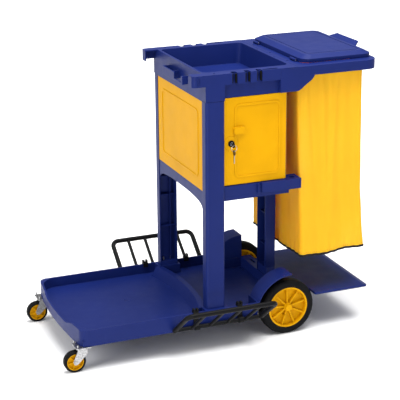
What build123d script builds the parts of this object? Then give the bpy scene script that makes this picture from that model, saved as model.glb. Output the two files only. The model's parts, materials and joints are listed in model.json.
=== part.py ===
"""Housekeeping cart: moulded base with mop-bucket tray, posts, lockable cabinet, tool tray and bag.

Frame: +X points from the bucket tray towards the bag, +Y to the cart's right-hand side, +Z up.
The origin is on the floor under the middle of the cart. All lengths are in millimetres.
"""
import os
from math import cos, radians, sin, sqrt

from build123d import *

# ---------------------------------------------------------------- driving dimensions
WALL = 4.0                 # general moulded wall
THIN = 3.0                 # light covers and panels
GAP = 0.3                  # clearance between separate mouldings
RUN = 0.05                 # radial running clearance of pins and shafts
SIDES = {"left": -1, "right": 1}

# base moulding
BASE_HALF_W = 255.0
BASE_FRONT_X = -519.0      # front edge at its corners
BASE_BOW = 17.0            # how far the front edge bows out in the middle
BASE_BOTTOM_Z = 91.0
BASE_RIM_Z = 149.0
FLOOR_Z = 113.0
FLOOR_THICK = 3.5
LIP_LOW_Z = 129.0          # front lip in the middle
LIP_LOW_Y = 100.0
LIP_HIGH_Y = 190.0
RIM_WALL = 6.0
DECK_X0 = 247.0            # rear wall of the bucket well
DECK_X1 = 282.0
DECK_Z = 152.0
DECK_HALF_W = 180.0
RIDGE_END_X = -64.5        # crest of the curved ridge where it meets the posts
RIDGE_MID_X = -34.0
RIDGE_FOOT = 39.0          # ridge width at the floor
RIDGE_TOP = 20.0           # ridge width at its crest
RIDGE_Z = 147.0

# rear wheels and mudguards
AXLE_X = 247.0
AXLE_R = 7.5
WHEEL_R = 100.0
WHEEL_RIM_R = 74.0
WHEEL_IN_Y = 186.0
WHEEL_OUT_Y = 228.0
GUARD_R = 135.5

# front casters
CASTER_X = -512.0
CASTER_Y = 231.0
CASTER_TRAIL = 28.0
CASTER_R = 37.5
CASTER_RIM_R = 28.5
CASTER_TYRE_W = 24.0
CASTER_HUB_W = 28.0
PLATE_SIZE = 56.0
PLATE_THICK = 2.6
PLATE_HOLE = 21.0          # mounting hole offset from the swivel axis
KINGPIN_R = 5.0

# posts
POST_X0 = -68.0
POST_X1 = 0.0
POST_OUT_Y = 243.0
POST_IN_Y = 209.0
POST_TOP_Z = 875.0
REAR_POST_X0 = 244.0
REAR_POST_X1 = 285.0
REAR_POST_HALF_W = 36.0
PEDESTAL_Z = 181.0

# middle shelf
SHELF_Z = 576.0
SHELF_BOTTOM_Z = 526.0
SHELF_REAR_X = 241.0
SHELF_HALF_W = 232.0
WING_X0 = 137.0
WING_X1 = 283.0
WING_HALF_W = 241.5
WING_BOTTOM_Z = 541.0
WING_HOLE = (260.0, 213.0)
WING_HOLE_R = 11.0
APRON_ARCH_Z = 527.0
APRON_POST_Z = 500.0

# cabinet
PANEL_X = -66.0
PANEL_Z0 = 562.5
PANEL_Z1 = 871.5
DOOR_Y = 227.0             # outer face of door and side panel
DOOR_X0 = 2.5
DOOR_Z0 = 578.5
DOOR_Z1 = 878.5
DOOR_DEPTH = 13.0
HINGE_X = 226.0
HINGE_Y = 220.0
HINGE_R = 7.0
HINGE_PIN_R = 2.5
HINGE_BORE_DEPTH = 12.0
BEAD = 2.0                 # height of the raised bead on the panels
BEAD_W = 7.0
LOCK_X = 28.0
LOCK_Z = 723.0
ESCUTCHEON_R = 24.5
LOCK_PAD = 1.5             # thickness of the raised pad under the lock
PULL_X0 = 36.0
PULL_X1 = 75.0
PULL_Z0 = 755.0
PULL_Z1 = 779.0
PULL_OUT = 11.0

# lock
BARREL_R = 8.0
PLUG_R = 5.0
RING_Y = -254.0
RING_R = 10.0
RING_WIRE = 0.8

# tool tray
TOP_Z = 965.0
TOP_HALF_W = 243.0
RAIL_BOTTOM_Z = 927.0
HORN_X = -114.0
HORN_IN_Y = 205.0
HORN_GROOVE_XS = (-95.0, -89.0)
TRAY_FRONT_X = -68.0
TRAY_REAR_X = 262.0
TRAY_WALL_BOTTOM_Z = 872.0
SIDE_WALL_Z = 880.0
BASIN_X0 = -60.0
BASIN_X1 = 249.0
BASIN_HALF_W = 200.0
BASIN_FLOOR_Z = 893.0
SLOT_XS = (35.5, 82.5, 124.5)
SLOT_W = 19.0
SLOT_DEPTH = 25.0
OVAL_X0 = 138.0
OVAL_X1 = 194.0
OVAL_Y = 224.0
OVAL_W = 11.0

# bag frame, lid and bag
FRAME_REAR_X = 571.0
FRAME_SKIRT_Z = 932.0
FRAME_CORNER_R = 45.0
MOUTH_X0 = 300.0
MOUTH_X1 = 521.0
MOUTH_HALF_W = 203.0
LIP_BOTTOM_Z = 945.0
GUSSET_X0 = 201.0
GUSSET_X1 = 262.0
GUSSET_TIP_X = 327.0
GUSSET_BOTTOM_Z = 882.0
LID_X0 = 297.0
LID_X1 = 565.0
LID_HALF_W = 206.0
LID_Z0 = 966.0
LID_SHOULDER_Z = 978.0
LID_TOP_Z = 989.0
LID_BEVEL = 21.0
LID_PIVOT_X = 290.0
LID_PIVOT_Z = 970.5
LID_KNUCKLE_R = 4.5
LID_PIN_R = 2.5
LID_HINGE_YS = (-150.0, 150.0)
LID_GROOVE_INSET = 13.0    # border groove in the lid's top, from the edge of the flat
LID_GROOVE_W = 3.5
LID_GROOVE_DEPTH = 1.4
# bag: height, front X and rear X, from the hem down
BAG_PROFILE = (
    (954.5, 276.5, 529.0),
    (490.0, 293.0, 536.0),
    (412.0, 300.0, 543.0),
    (272.0, 304.0, 554.0),
)
BAG_HALF_W = 209.5
BAG_WALL = 2.5
BINDING = 7.0
PEG_XS = (335.0, 410.0, 485.0)
PEG_Z = 951.0
PEG_R = 3.5

# rear platform
PLATFORM_X1 = 568.0
PLATFORM_STEP_X = 356.0    # narrower ahead of this, between the wheels
PLATFORM_HALF_W = 221.0
PLATFORM_NECK_HALF_W = 176.0
PLATFORM_Z = 136.0
PLATFORM_THICK = 9.0
FOLD_X = 292.0             # hinge line of the platform
FOLD_R = PLATFORM_THICK / 2
FOLD_Z = PLATFORM_Z - FOLD_R
FOLD_PIN_R = 2.0
FOLD_LUG_YS = (-150.0, -50.0, 50.0, 150.0)
FOLD_LUG_W = 12.0
FOLD_PIN_LEN = 32.0
LEDGE_X = 330.0
LEDGE_HALF_W = 120.0

# side racks
RACK_Y = 266.0
RACK_Z = 102.0
RACK_REACH = 160.0
RACK_TILT = 38.0
RACK_BAR_XS = (-131.0, -65.0, -1.0, 66.0)
RACK_BAR_R = 6.0
RACK_X0 = -195.0
RACK_X1 = 125.0
RACK_R = 8.5
RACK_PIN_R = 7.0
RACK_CLIP_XS = (-114.0, 48.5)
RACK_CLIP_W = 18.0
CLIP_WALL = 4.0
CLIP_TOP_Z = 155.0
CLIP_PRONG_Z = 164.0
CLIP_PRONG_W = 6.0

# fasteners and details
SCREW_R = 2.5
SCREW_HOLE_R = 2.6
POST_SCREW_R = 3.0
POST_SCREW_HOLE_R = 3.1
POST_SCREW_XS = (POST_X0 + 20, POST_X1 - 20)
POST_SCREW_Y = POST_OUT_Y - 14
SIDE_SCREW_Y = 222.0
SHELF_SCREW_ZS = (540.0, 562.0)
TRAY_SCREW_Z = 892.0
FRAME_SCREW_ZS = (905.0, 940.0)
FRAME_SCREW_X = GUSSET_X0 + 20
SEAM = 1.4                 # reveal where a post meets the tray's cap
RIB = 3.0                  # thickness of stiffening ribs
DRAIN_R = 4.0

os.makedirs("parts", exist_ok=True)


# ---------------------------------------------------------------- helpers
def save(part, name):
    """Label a finished piece and write it to its own STEP file."""
    part.label = name
    export_step(part, f"parts/{name}.step")


def block(x0, x1, y0, y1, z0, z1, mode=Mode.ADD):
    """Box between two opposite corners, added to or cut from the part being built."""
    centre = ((x0 + x1) / 2, (y0 + y1) / 2, (z0 + z1) / 2)
    with Locations(centre):
        Box(abs(x1 - x0), abs(y1 - y0), z1 - z0, mode=mode)


def rod(axis, centre, radius, length, mode=Mode.ADD):
    """Cylinder along a named axis, centred on a point."""
    turns = {"x": (0, 90, 0), "y": (90, 0, 0), "z": (0, 0, 0)}
    with Locations(centre):
        Cylinder(radius, length, rotation=turns[axis], mode=mode)


def xz_plane(y):
    """Plane parallel to XZ at a given Y, with local x = X, local y = Z and normal -Y."""
    return Plane(origin=(0, y, 0), x_dir=(1, 0, 0), z_dir=(0, -1, 0))


def yz_plane(x):
    """Plane parallel to YZ at a given X, with local x = Y, local y = Z and normal +X."""
    return Plane(origin=(x, 0, 0), x_dir=(0, 1, 0), z_dir=(1, 0, 0))


def slab_y(y0, y1):
    """Plane and depth for extruding an XZ outline between two Y values."""
    return xz_plane(max(y0, y1)), abs(y1 - y0)


def raised_bead(plane, centre, width, height, radius, amount=BEAD):
    """Rounded-rectangle bead that stands on a flat panel."""
    with BuildSketch(plane) as bead:
        with Locations(centre):
            RectangleRounded(width, height, radius)
            RectangleRounded(width - 2 * BEAD_W, height - 2 * BEAD_W, radius - BEAD_W, mode=Mode.SUBTRACT)
    extrude(bead.sketch, amount=amount)


# ---------------------------------------------------------------- base moulding
def base_outline(inset, corner, rear_x):
    """Plan of the wide part of the base: bowed front edge, rounded corners."""
    x0 = BASE_FRONT_X + inset
    half = BASE_HALF_W - inset
    with BuildLine() as outline:
        ThreePointArc((x0, -half), (x0 - BASE_BOW, 0), (x0, half))
        Line((x0, half), (rear_x, half))
        Line((rear_x, half), (rear_x, -half))
        Line((rear_x, -half), (x0, -half))
    make_face(outline.edges())
    fillet(vertices().group_by(Axis.X)[0], corner)


def guard_front_x(z):
    """X of the mudguard's outer surface at height z, ahead of the axle."""
    return AXLE_X - sqrt(GUARD_R ** 2 - (z - WHEEL_R) ** 2)


with BuildPart() as base_tray:
    well_r = GUARD_R - WALL
    with BuildSketch(Plane.XY.offset(BASE_BOTTOM_Z)):
        base_outline(0, 28, DECK_X0)
    extrude(amount=BASE_RIM_Z - BASE_BOTTOM_Z)
    block(DECK_X0 - WALL, DECK_X1, -DECK_HALF_W, DECK_HALF_W, BASE_BOTTOM_Z, DECK_Z)
    block(DECK_X1 - 1, REAR_POST_X1 + 0.5, -REAR_POST_HALF_W - 12, REAR_POST_HALF_W + 12, DECK_Z - 8,
          DECK_Z)
    # mudguard blanks, rounded over the axle and cut square behind it
    for side in SIDES.values():
        plane, depth = slab_y(side * DECK_HALF_W, side * BASE_HALF_W)
        with BuildSketch(plane) as guard:
            with Locations((AXLE_X, WHEEL_R)):
                Circle(GUARD_R)
            with Locations((AXLE_X + GUARD_R, WHEEL_R)):
                Rectangle(2 * GUARD_R, 4 * GUARD_R, mode=Mode.SUBTRACT)
            with Locations((AXLE_X, BASE_BOTTOM_Z - GUARD_R)):
                Rectangle(4 * GUARD_R, 2 * GUARD_R, mode=Mode.SUBTRACT)
        extrude(amount=depth)
    # wheel wells, open outwards, downwards and to the rear
    for side in SIDES.values():
        rod("y", (AXLE_X, side * (DECK_HALF_W + WALL + BASE_HALF_W), WHEEL_R), well_r,
            2 * BASE_HALF_W, Mode.SUBTRACT)
    # bucket well: one pocket from the front lip to the rear wall, narrower between the mudguards
    with BuildSketch(Plane.XY.offset(FLOOR_Z)):
        base_outline(RIM_WALL, 62, guard_front_x(BASE_RIM_Z) - WALL)
    extrude(amount=GUARD_R, mode=Mode.SUBTRACT)
    block(0, DECK_X0 - WALL, WALL - DECK_HALF_W, DECK_HALF_W - WALL, FLOOR_Z, FLOOR_Z + GUARD_R,
          Mode.SUBTRACT)
    # hollow undersides
    under_floor = FLOOR_Z - FLOOR_THICK - BASE_BOTTOM_Z
    with BuildSketch(Plane.XY.offset(BASE_BOTTOM_Z)):
        base_outline(WALL, 26, guard_front_x(BASE_BOTTOM_Z) - WALL)
    extrude(amount=under_floor, mode=Mode.SUBTRACT)
    block(0, DECK_X0 - WALL, WALL - DECK_HALF_W, DECK_HALF_W - WALL, BASE_BOTTOM_Z,
          BASE_BOTTOM_Z + under_floor, Mode.SUBTRACT)
    block(DECK_X0, DECK_X1 - WALL, WALL - DECK_HALF_W, DECK_HALF_W - WALL, BASE_BOTTOM_Z,
          DECK_Z - WALL, Mode.SUBTRACT)
    # front lip dips in the middle so that a bucket can be lifted in
    with BuildSketch(yz_plane(BASE_FRONT_X - 2 * BASE_BOW)):
        with BuildLine():
            for side in (-1, 1):
                Spline((side * LIP_HIGH_Y, BASE_RIM_Z), (side * LIP_LOW_Y, LIP_LOW_Z),
                       tangents=((-side, 0), (-side, 0)))
                Line((side * LIP_HIGH_Y, BASE_RIM_Z), (side * LIP_HIGH_Y, DECK_Z))
            Line((-LIP_LOW_Y, LIP_LOW_Z), (LIP_LOW_Y, LIP_LOW_Z))
            Line((-LIP_HIGH_Y, DECK_Z), (LIP_HIGH_Y, DECK_Z))
        make_face()
    extrude(amount=2 * BASE_BOW + 30, mode=Mode.SUBTRACT)
    # curved ridge between the two front posts, sloping down to the bucket tray
    for z, width in ((FLOOR_Z - 1, RIDGE_FOOT), (RIDGE_Z, RIDGE_TOP)):
        with BuildSketch(Plane.XY.offset(z)):
            end_y = POST_IN_Y + WALL
            with BuildLine():
                ThreePointArc((RIDGE_END_X, -end_y), (RIDGE_MID_X, 0), (RIDGE_END_X, end_y))
                Line((RIDGE_END_X, end_y), (RIDGE_END_X - width, end_y))
                back_x = RIDGE_END_X - width
                ThreePointArc((back_x, end_y), (RIDGE_MID_X - width, 0), (back_x, -end_y))
                Line((back_x, -end_y), (RIDGE_END_X, -end_y))
            make_face()
    loft(ruled=True)
    # pads that carry the front posts, and corner blocks that carry the casters
    for side in SIDES.values():
        block(POST_X0 - 8, POST_X1 + 8, side * (POST_IN_Y - 6), side * (BASE_HALF_W - 1), FLOOR_Z - 1,
              BASE_RIM_Z)
        block(BASE_FRONT_X + WALL, CASTER_X + 32, side * (CASTER_Y - 30), side * (BASE_HALF_W - 2),
              BASE_BOTTOM_Z, FLOOR_Z - 1)
        for dx in (-PLATE_HOLE, PLATE_HOLE):
            for dy in (-PLATE_HOLE, PLATE_HOLE):
                rod("z", (CASTER_X + dx, side * CASTER_Y + dy, BASE_BOTTOM_Z), SCREW_HOLE_R, 26,
                    Mode.SUBTRACT)
        for x in POST_SCREW_XS:
            rod("z", (x, side * POST_SCREW_Y, FLOOR_Z), POST_SCREW_HOLE_R, 90, Mode.SUBTRACT)
    # stiffening ribs under the tray floor
    rib_z0 = BASE_BOTTOM_Z + 6
    for y in (-170, -85, 0, 85, 170):
        block(BASE_FRONT_X + 10, DECK_X0 - WALL, y - RIB / 2, y + RIB / 2, rib_z0, FLOOR_Z - 1)
    for x in (-430, -330, -230, -130, -30, 70):
        block(x - RIB / 2, x + RIB / 2, 3 - BASE_HALF_W, BASE_HALF_W - 3, rib_z0, FLOOR_Z - 1)
    # axle carriers under the deck
    for side in SIDES.values():
        block(AXLE_X - 14, AXLE_X + 14, side * 146, side * (DECK_HALF_W - 1), BASE_BOTTOM_Z, FLOOR_Z - 1)
    rod("y", (AXLE_X, 0, WHEEL_R), AXLE_R + 0.1, 2 * BASE_HALF_W, Mode.SUBTRACT)
    # drain slots, deck hand slots and platform screw holes
    for side in SIDES.values():
        block(DECK_X0 - 16, DECK_X0 - 8, side * 130, side * 166, FLOOR_Z - 10, FLOOR_Z + 4, Mode.SUBTRACT)
        block(261, 269, side * 96, side * 136, DECK_Z - 10, DECK_Z + 4, Mode.SUBTRACT)
    # ledge that the rear platform rests on, and the lugs it hinges from
    block(DECK_X1 - 1, LEDGE_X, -LEDGE_HALF_W, LEDGE_HALF_W, PLATFORM_Z - PLATFORM_THICK - 14,
          PLATFORM_Z - PLATFORM_THICK - GAP)
    for y in FOLD_LUG_YS:
        block(DECK_X1 - 1, FOLD_X, y - FOLD_LUG_W / 2, y + FOLD_LUG_W / 2, FOLD_Z - FOLD_R, FOLD_Z + FOLD_R)
        rod("y", (FOLD_X, y, FOLD_Z), FOLD_R, FOLD_LUG_W)
        rod("y", (FOLD_X, y, FOLD_Z), FOLD_PIN_R, FOLD_LUG_W + 2, Mode.SUBTRACT)
save(base_tray.part, "base_tray")

# ---------------------------------------------------------------- front posts
for name, side in SIDES.items():
    with BuildPart() as post:
        mid_y = side * (POST_OUT_Y + POST_IN_Y) / 2
        with BuildSketch(Plane.XY.offset(BASE_RIM_Z)):
            with Locations(((POST_X0 + POST_X1) / 2, mid_y)):
                Rectangle(POST_X1 - POST_X0, POST_OUT_Y - POST_IN_Y)
            outer = vertices().group_by(Axis.Y)[-1 if side > 0 else 0]
            fillet(outer, 9)
            with Locations(((POST_X0 + POST_X1) / 2, mid_y - side * WALL)):
                Rectangle(POST_X1 - POST_X0 - 2 * WALL, POST_OUT_Y - POST_IN_Y, mode=Mode.SUBTRACT)
        extrude(amount=POST_TOP_Z - BASE_RIM_Z)
        # foot, cross ribs and a long rib inside the channel
        x0 = POST_X0 + WALL - 0.5
        x1 = POST_X1 - WALL + 0.5
        wall_y = side * (POST_OUT_Y - WALL + 0.5)
        block(x0, x1, wall_y, side * (POST_IN_Y + 1), BASE_RIM_Z, BASE_RIM_Z + 16)
        for z in (300, 420, 492, 600, 760):
            block(x0, x1, wall_y, side * (POST_IN_Y + 6), z, z + THIN)
        block(-22, -22 + THIN, wall_y, side * (POST_IN_Y + 14), BASE_RIM_Z, POST_TOP_Z - 1)
        for x in POST_SCREW_XS:
            rod("z", (x, side * POST_SCREW_Y, BASE_RIM_Z), POST_SCREW_HOLE_R, 60, Mode.SUBTRACT)
        for z in (*SHELF_SCREW_ZS, TRAY_SCREW_Z):
            rod("x", (POST_X1, side * SIDE_SCREW_Y, z), SCREW_HOLE_R, 20, Mode.SUBTRACT)
        # reveal around the top edge
        with BuildSketch(Plane.XY.offset(POST_TOP_Z - SEAM)):
            with Locations(((POST_X0 + POST_X1) / 2, mid_y)):
                Rectangle(POST_X1 - POST_X0 + 2, POST_OUT_Y - POST_IN_Y + 2)
            with Locations(((POST_X0 + POST_X1) / 2, mid_y - side * SEAM)):
                Rectangle(POST_X1 - POST_X0 - 2 * SEAM, POST_OUT_Y - POST_IN_Y, mode=Mode.SUBTRACT)
        extrude(amount=2 * SEAM, mode=Mode.SUBTRACT)
    save(post.part, f"front_post_{name}")

# ---------------------------------------------------------------- rear post
with BuildPart() as rear_post:
    mid_x = (REAR_POST_X0 + REAR_POST_X1) / 2
    with BuildSketch(Plane.XY.offset(DECK_Z)):
        with Locations((mid_x, 0)):
            RectangleRounded(REAR_POST_X1 - REAR_POST_X0, 2 * REAR_POST_HALF_W, 4)
        with Locations((mid_x - WALL, 0)):
            Rectangle(REAR_POST_X1 - REAR_POST_X0, 2 * (REAR_POST_HALF_W - WALL), mode=Mode.SUBTRACT)
    extrude(amount=SHELF_BOTTOM_Z - DECK_Z)
    for z in (260, 380, 480):
        block(REAR_POST_X0 + 10, REAR_POST_X1 - 1, 1 - REAR_POST_HALF_W, REAR_POST_HALF_W - 1, z, z + THIN)
    # flared pedestal
    for z, grow in ((DECK_Z, 10), (PEDESTAL_Z, 1)):
        with BuildSketch(Plane.XY.offset(z)):
            with Locations((mid_x + 2, 0)):
                RectangleRounded(REAR_POST_X1 - REAR_POST_X0 - 4, 2 * (REAR_POST_HALF_W + grow), 5)
    loft(ruled=True)
save(rear_post.part, "rear_post")

# ---------------------------------------------------------------- middle shelf
with BuildPart() as middle_shelf:
    front_x = PANEL_X
    body_x0 = POST_X1 + GAP
    shelf_half_in = POST_IN_Y - 2
    # shelf plate: between the posts at the front, full width behind them
    block(front_x, SHELF_REAR_X, -shelf_half_in, shelf_half_in, SHELF_Z - WALL, SHELF_Z)
    block(body_x0, SHELF_REAR_X, -SHELF_HALF_W, SHELF_HALF_W, SHELF_BOTTOM_Z, SHELF_Z)
    block(body_x0 + WALL, SHELF_REAR_X - WALL, WALL - SHELF_HALF_W, SHELF_HALF_W - WALL,
          SHELF_BOTTOM_Z - 1, SHELF_Z - WALL, Mode.SUBTRACT)
    # the cabinet panel stands on the apron, so the plate steps back behind it
    block(front_x - 1, PANEL_X + WALL + GAP, -POST_OUT_Y, POST_OUT_Y, PANEL_Z0 - GAP, SHELF_Z + 1,
          Mode.SUBTRACT)
    block(body_x0, body_x0 + WALL, -SHELF_HALF_W + 30, SHELF_HALF_W - 30, SHELF_BOTTOM_Z - 1,
          SHELF_Z - WALL, Mode.SUBTRACT)
    # arched front apron
    with BuildSketch(yz_plane(front_x)):
        with BuildLine():
            for side in (-1, 1):
                Spline((side * 40, APRON_ARCH_Z), (side * 150, APRON_ARCH_Z - 6),
                       (side * shelf_half_in, APRON_POST_Z - 8), tangents=((side, 0), (0.35 * side, -1)))
                Line((side * shelf_half_in, APRON_POST_Z - 8), (side * shelf_half_in, PANEL_Z0 - GAP))
            Line((-40, APRON_ARCH_Z), (40, APRON_ARCH_Z))
            Line((-shelf_half_in, PANEL_Z0 - GAP), (shelf_half_in, PANEL_Z0 - GAP))
        make_face()
    extrude(amount=WALL)
    block(front_x, PANEL_X + WALL + GAP + THIN, -shelf_half_in, shelf_half_in, PANEL_Z0 - GAP - THIN,
          PANEL_Z0 - GAP)
    block(PANEL_X + WALL + GAP, PANEL_X + WALL + GAP + THIN, -shelf_half_in, shelf_half_in,
          PANEL_Z0 - GAP - THIN, SHELF_Z)
    # ribs below the plate, in line with the side walls and along the middle
    for y in (-130, 0, 130):
        block(PANEL_X + WALL, SHELF_REAR_X - 1, y - RIB / 2, y + RIB / 2, SHELF_Z - 26, SHELF_Z - 1)
    # socket over the rear post
    block(REAR_POST_X0 - WALL, REAR_POST_X1 + 1, -REAR_POST_HALF_W - WALL, REAR_POST_HALF_W + WALL,
          SHELF_BOTTOM_Z, SHELF_Z)
    block(REAR_POST_X0 + WALL, REAR_POST_X1 - WALL, WALL - REAR_POST_HALF_W, REAR_POST_HALF_W - WALL,
          SHELF_BOTTOM_Z - 1, SHELF_Z - WALL, Mode.SUBTRACT)
    # tool-holder wings with a handle hole and a hook at the front end
    for side in SIDES.values():
        block(WING_X0, WING_X1, side * 184, side * WING_HALF_W, WING_BOTTOM_Z, SHELF_Z)
        block(WING_X0 + WALL, WING_X1 - WALL, side * (184 + WALL), side * (WING_HALF_W - WALL),
              WING_BOTTOM_Z - 1, SHELF_Z - WALL, Mode.SUBTRACT)
        rod("z", (WING_HOLE[0], side * WING_HOLE[1], SHELF_Z), WING_HOLE_R, 30, Mode.SUBTRACT)
        block(WING_X0 - 15, WING_X0 - 10, side * (SHELF_HALF_W - 1), side * WING_HALF_W, WING_BOTTOM_Z,
              SHELF_Z - 2)
        block(WING_X0 - 15, WING_X0 + 1, side * (SHELF_HALF_W - 1), side * (SHELF_HALF_W + THIN),
              WING_BOTTOM_Z,
              SHELF_Z - 12)
        # lower door hinge boss, and bosses for the screws out of the posts
        rod("z", (HINGE_X, side * HINGE_Y, SHELF_Z - 10), HINGE_R, 18)
        rod("z", (HINGE_X, side * HINGE_Y, SHELF_Z), HINGE_PIN_R, 30, Mode.SUBTRACT)
        for z in SHELF_SCREW_ZS:
            rod("x", (body_x0 + 8, side * SIDE_SCREW_Y, z), 5.5, 16)
            rod("x", (body_x0, side * SIDE_SCREW_Y, z), SCREW_HOLE_R, 30, Mode.SUBTRACT)
save(middle_shelf.part, "middle_shelf")

# ---------------------------------------------------------------- cabinet panels
panel_mid_z = (PANEL_Z0 + PANEL_Z1) / 2
with BuildPart() as cabinet_front_panel:
    panel_half = POST_IN_Y - 1
    block(PANEL_X, PANEL_X + WALL, -panel_half, panel_half, PANEL_Z0, PANEL_Z1)
    front_face = Plane(origin=(PANEL_X, 0, 0), x_dir=(0, 1, 0), z_dir=(-1, 0, 0))
    raised_bead(front_face, (0, -panel_mid_z), 2 * panel_half - 76, PANEL_Z1 - PANEL_Z0 - 72, 22)
    for y in (-panel_half + 8, panel_half - 8):
        block(PANEL_X + WALL - 1, PANEL_X + 14, y - RIB / 2, y + RIB / 2, SHELF_Z + 2, PANEL_Z1 - 4)
save(cabinet_front_panel.part, "cabinet_front_panel")

side_x0 = POST_X1 + GAP
side_x1 = HINGE_X + HINGE_R
side_mid = ((side_x0 + side_x1) / 2, (DOOR_Z0 + DOOR_Z1) / 2)
with BuildPart() as cabinet_side_panel:
    block(side_x0, side_x1, DOOR_Y - WALL, DOOR_Y, SHELF_Z + GAP, SIDE_WALL_Z - GAP)
    right_face = Plane(origin=(0, DOOR_Y, 0), x_dir=(1, 0, 0), z_dir=(0, 1, 0))
    raised_bead(right_face, (side_mid[0], -side_mid[1]), 172, 256, 20)
    for x in (side_x0 + 12, side_x1 - 12):
        block(x - RIB / 2, x + RIB / 2, DOOR_Y - 14, DOOR_Y - WALL + 1, SHELF_Z + 4, SIDE_WALL_Z - 4)
save(cabinet_side_panel.part, "cabinet_side_panel")

with BuildPart() as cabinet_back_panel:
    back_x = SHELF_REAR_X - 4.5
    block(back_x, back_x + THIN, -210, 210, SHELF_Z + GAP, BASIN_FLOOR_Z - THIN - GAP)
    for y in (-206, 206):
        block(back_x - 9, back_x + 1, y - RIB / 2, y + RIB / 2, SHELF_Z + 2, BASIN_FLOOR_Z - 8)
save(cabinet_back_panel.part, "cabinet_back_panel")

# ---------------------------------------------------------------- cabinet door
with BuildPart() as cabinet_door:
    block(DOOR_X0, HINGE_X, -DOOR_Y, -DOOR_Y + DOOR_DEPTH, DOOR_Z0, DOOR_Z1)
    block(DOOR_X0 + THIN, HINGE_X - HINGE_R, -DOOR_Y + 3.5, -DOOR_Y + DOOR_DEPTH + 1,
          DOOR_Z0 + THIN, DOOR_Z1 - THIN, Mode.SUBTRACT)
    block(HINGE_X - HINGE_R, HINGE_X + HINGE_R, -HINGE_Y, -HINGE_Y + HINGE_R + 1, DOOR_Z0 - 1, DOOR_Z1 + 1,
          Mode.SUBTRACT)
    rod("z", (HINGE_X, -HINGE_Y, (DOOR_Z0 + DOOR_Z1) / 2), HINGE_R, DOOR_Z1 - DOOR_Z0)
    block(HINGE_X - HINGE_R - THIN, HINGE_X - HINGE_R + 0.5, -DOOR_Y, -HINGE_Y + 1, DOOR_Z0, DOOR_Z1)
    for z in (DOOR_Z0, DOOR_Z1):
        rod("z", (HINGE_X, -HINGE_Y, z), HINGE_PIN_R + RUN, 2 * HINGE_BORE_DEPTH, Mode.SUBTRACT)
    door_face = xz_plane(-DOOR_Y)
    raised_bead(door_face, (side_mid[0] + 8, side_mid[1]), 168, 254, 20)
    with BuildSketch(door_face):
        with Locations((LOCK_X, LOCK_Z)):
            Circle(ESCUTCHEON_R)
    extrude(amount=LOCK_PAD)
    # pull tab, hollow below so that a finger hooks behind it
    with BuildSketch(door_face):
        with Locations(((PULL_X0 + PULL_X1) / 2, (PULL_Z0 + PULL_Z1) / 2)):
            RectangleRounded(PULL_X1 - PULL_X0, PULL_Z1 - PULL_Z0, 8)
    extrude(amount=PULL_OUT)
    block(PULL_X0 + 4, PULL_X1 - 4, -DOOR_Y - PULL_OUT + 3, -DOOR_Y - BEAD, PULL_Z0 - 1, PULL_Z1 - 6,
          Mode.SUBTRACT)
    # stiffening ribs inside and the hole for the lock barrel
    for z in (650, 800):
        block(DOOR_X0 + 1, HINGE_X - HINGE_R - 1, -DOOR_Y + 3, -DOOR_Y + 9, z - RIB / 2, z + RIB / 2)
    rod("y", (LOCK_X, -DOOR_Y, LOCK_Z), BARREL_R + RUN, 30, Mode.SUBTRACT)
save(cabinet_door.part, "cabinet_door")

with BuildPart() as door_hinge_pins:
    pin_len = 2 * HINGE_BORE_DEPTH - 2
    for z in (SHELF_Z + 1, SIDE_WALL_Z - 0.5):
        rod("z", (HINGE_X, -HINGE_Y, z), HINGE_PIN_R, pin_len)
save(door_hinge_pins.part, "door_hinge_pins")

# ---------------------------------------------------------------- lock
face_y = -DOOR_Y - LOCK_PAD
with BuildPart() as lock_barrel:
    rod("y", (LOCK_X, face_y - 1.25, LOCK_Z), 11, 2.5)
    rod("y", (LOCK_X, face_y + 12, LOCK_Z), BARREL_R, 24)
    rod("y", (LOCK_X, face_y, LOCK_Z), PLUG_R + RUN, 80, Mode.SUBTRACT)
save(lock_barrel.part, "lock_barrel")

with BuildPart() as lock_nut:
    nut_plane = xz_plane(-DOOR_Y + 7.5)
    with BuildSketch(nut_plane):
        with Locations((LOCK_X, LOCK_Z)):
            RegularPolygon(12, 6)
            Circle(BARREL_R + RUN, mode=Mode.SUBTRACT)
    extrude(amount=3.7)
save(lock_nut.part, "lock_nut")

plug_front_y = face_y - 3.5
plug_back_y = face_y + 26
with BuildPart() as lock_plug:
    rod("y", (LOCK_X, (plug_front_y + plug_back_y) / 2, LOCK_Z), PLUG_R, plug_back_y - plug_front_y)
    block(LOCK_X - 1.1, LOCK_X + 1.1, plug_front_y - 1, plug_front_y + 20, LOCK_Z - 3.4, LOCK_Z + 3.4,
          Mode.SUBTRACT)
save(lock_plug.part, "lock_plug")

with BuildPart() as lock_cam:
    cam_plane = xz_plane(plug_back_y + 3)
    with BuildSketch(cam_plane):
        with Locations((LOCK_X, LOCK_Z - 14)):
            SlotOverall(46, 14, rotation=90)
    extrude(amount=THIN)
    rod("y", (LOCK_X, plug_back_y + 4.5, LOCK_Z), 4.5, 3)
save(lock_cam.part, "lock_cam")

with BuildPart() as lock_strike:
    block(POST_X1, POST_X1 + 2, -232, -203, LOCK_Z - 13, LOCK_Z + 13)
    block(POST_X1 - 16, POST_X1 + 2, -205, -203, LOCK_Z - 13, LOCK_Z + 13)
save(lock_strike.part, "lock_strike")


def key_profile(bow_y, bow_z, along, blade_width, blade_from, blade_to, hole_at):
    """Flat key in a YZ plane: a rounded bow with a ring hole and a stepped blade."""
    with BuildSketch(yz_plane(LOCK_X - 1)) as blank:
        with Locations((bow_y, bow_z)):
            Circle(9.5)
        if along == "y":
            middle = ((blade_from + blade_to) / 2, bow_z)
            with Locations(middle):
                Rectangle(blade_to - blade_from, blade_width)
        else:
            middle = (bow_y, (blade_from + blade_to) / 2)
            with Locations(middle):
                Rectangle(blade_width, blade_from - blade_to)
        with Locations(hole_at):
            Circle(3, mode=Mode.SUBTRACT)
    extrude(blank.sketch, amount=2)


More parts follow.
